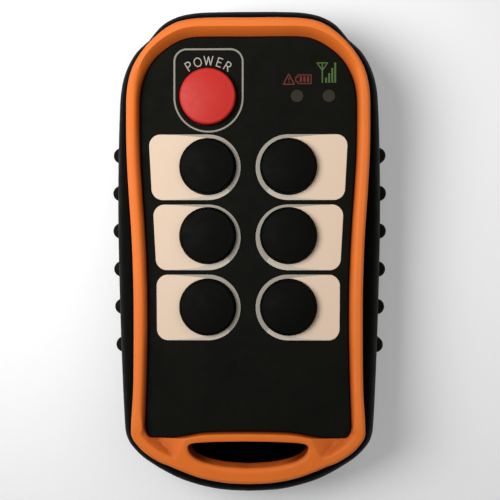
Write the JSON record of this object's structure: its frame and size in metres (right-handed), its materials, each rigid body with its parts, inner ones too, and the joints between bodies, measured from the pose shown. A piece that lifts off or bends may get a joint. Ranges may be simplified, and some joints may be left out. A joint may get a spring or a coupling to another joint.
{
  "type": "handheld radio remote control",
  "caption": "Handheld radio control station: pushbutton keypad with round keys and a red power key, rubber bumper with lanyard slot, ribbed grips, battery door.",
  "frame": {"origin": "on the resting plane (the back of the case), under the middle of the case", "axes": "+Z out of the keypad, +Y to the antenna end above the power key, +X to the right of the keypad"},
  "size_m": [0.0828, 0.143, 0.0336],
  "materials": {
    "case_plastic": "black moulded nylon, fine spark texture",
    "bumper_rubber": "orange elastomer, satin",
    "gasket_silicone": "grey silicone",
    "grip_rubber": "black overmoulded elastomer",
    "overlay_film": "black matt polyester film",
    "legend_print": "cream printed film",
    "key_rubber": "black key cap",
    "power_red": "red key cap",
    "dome_silicone": "translucent grey silicone",
    "component_plastic": "black moulded component",
    "lamp_smoke": "smoked light pipe",
    "led_red": "red lamp",
    "led_green": "green lamp",
    "board_laminate": "green glass laminate",
    "shield_can": "tinned shielding can",
    "nickel_contact": "nickel-plated spring steel",
    "screw_steel": "zinc-plated steel",
    "bay_plastic": "black moulded nylon",
    "cell_sleeve": "plain blue cell sleeve"
  },
  "bodies": {
    "case": {"antenna_wire": "nickel_contact", "battery_cell_1": "cell_sleeve", "battery_cell_2": "cell_sleeve", "battery_led": "led_red", "battery_light_pipe": "lamp_smoke", "battery_tray": "bay_plastic", "bumper_bezel": "bumper_rubber", "buzzer": "component_plastic", "case_screw_1": "screw_steel", "case_screw_2": "screw_steel", "case_screw_3": "screw_steel", "case_screw_4": "screw_steel", "contact_bridge": "nickel_contact", "contact_spring_1": "nickel_contact", "contact_spring_2": "nickel_contact", "controller_chip": "component_plastic", "front_housing": "case_plastic", "housing_gasket": "gasket_silicone", "key_1_dome": "dome_silicone", "key_1_switch": "component_plastic", "key_2_dome": "dome_silicone", "key_2_switch": "component_plastic", "key_3_dome": "dome_silicone", "key_3_switch": "component_plastic", "key_4_dome": "dome_silicone", "key_4_switch": "component_plastic", "key_5_dome": "dome_silicone", "key_5_switch": "component_plastic", "key_6_dome": "dome_silicone", "key_6_switch": "component_plastic", "keypad_overlay": "overlay_film", "left_grip": "grip_rubber", "legend_panel_1": "legend_print", "legend_panel_2": "legend_print", "legend_panel_3": "legend_print", "legend_panel_4": "legend_print", "legend_panel_5": "legend_print", "legend_panel_6": "legend_print", "main_board": "board_laminate", "negative_terminal": "nickel_contact", "positive_terminal": "nickel_contact", "power_dome": "dome_silicone", "power_switch": "component_plastic", "radio_module": "shield_can", "rear_housing": "case_plastic", "right_grip": "grip_rubber", "signal_led": "led_green", "signal_light_pipe": "lamp_smoke"},
    "power_button_body": {"power_button": "power_red"},
    "button_1_body": {"button_1": "key_rubber"},
    "button_2_body": {"button_2": "key_rubber"},
    "button_3_body": {"button_3": "key_rubber"},
    "button_4_body": {"button_4": "key_rubber"},
    "button_5_body": {"button_5": "key_rubber"},
    "button_6_body": {"button_6": "key_rubber"},
    "door_body": {"battery_door": "bay_plastic"}
  },
  "joints": [
    {"name": "power_button_press", "type": "slide", "parent": "case", "child": "power_button_body", "axis": [0, 0, -1], "range_m": [0, 0.0012], "stiffness_N_per_m": 1500, "springref_m": -0.0004, "deforming": ["power_dome"]},
    {"name": "button_1_press", "type": "slide", "parent": "case", "child": "button_1_body", "axis": [0, 0, -1], "range_m": [0, 0.0012], "stiffness_N_per_m": 1500, "springref_m": -0.0004, "deforming": ["key_1_dome"]},
    {"name": "button_2_press", "type": "slide", "parent": "case", "child": "button_2_body", "axis": [0, 0, -1], "range_m": [0, 0.0012], "stiffness_N_per_m": 1500, "springref_m": -0.0004, "deforming": ["key_2_dome"]},
    {"name": "button_3_press", "type": "slide", "parent": "case", "child": "button_3_body", "axis": [0, 0, -1], "range_m": [0, 0.0012], "stiffness_N_per_m": 1500, "springref_m": -0.0004, "deforming": ["key_3_dome"]},
    {"name": "button_4_press", "type": "slide", "parent": "case", "child": "button_4_body", "axis": [0, 0, -1], "range_m": [0, 0.0012], "stiffness_N_per_m": 1500, "springref_m": -0.0004, "deforming": ["key_4_dome"]},
    {"name": "button_5_press", "type": "slide", "parent": "case", "child": "button_5_body", "axis": [0, 0, -1], "range_m": [0, 0.0012], "stiffness_N_per_m": 1500, "springref_m": -0.0004, "deforming": ["key_5_dome"]},
    {"name": "button_6_press", "type": "slide", "parent": "case", "child": "button_6_body", "axis": [0, 0, -1], "range_m": [0, 0.0012], "stiffness_N_per_m": 1500, "springref_m": -0.0004, "deforming": ["key_6_dome"]},
    {"name": "battery_door_slide", "type": "slide", "parent": "case", "child": "door_body", "axis": [0, -1, 0], "range_m": [0, 0.006]}
  ]
}
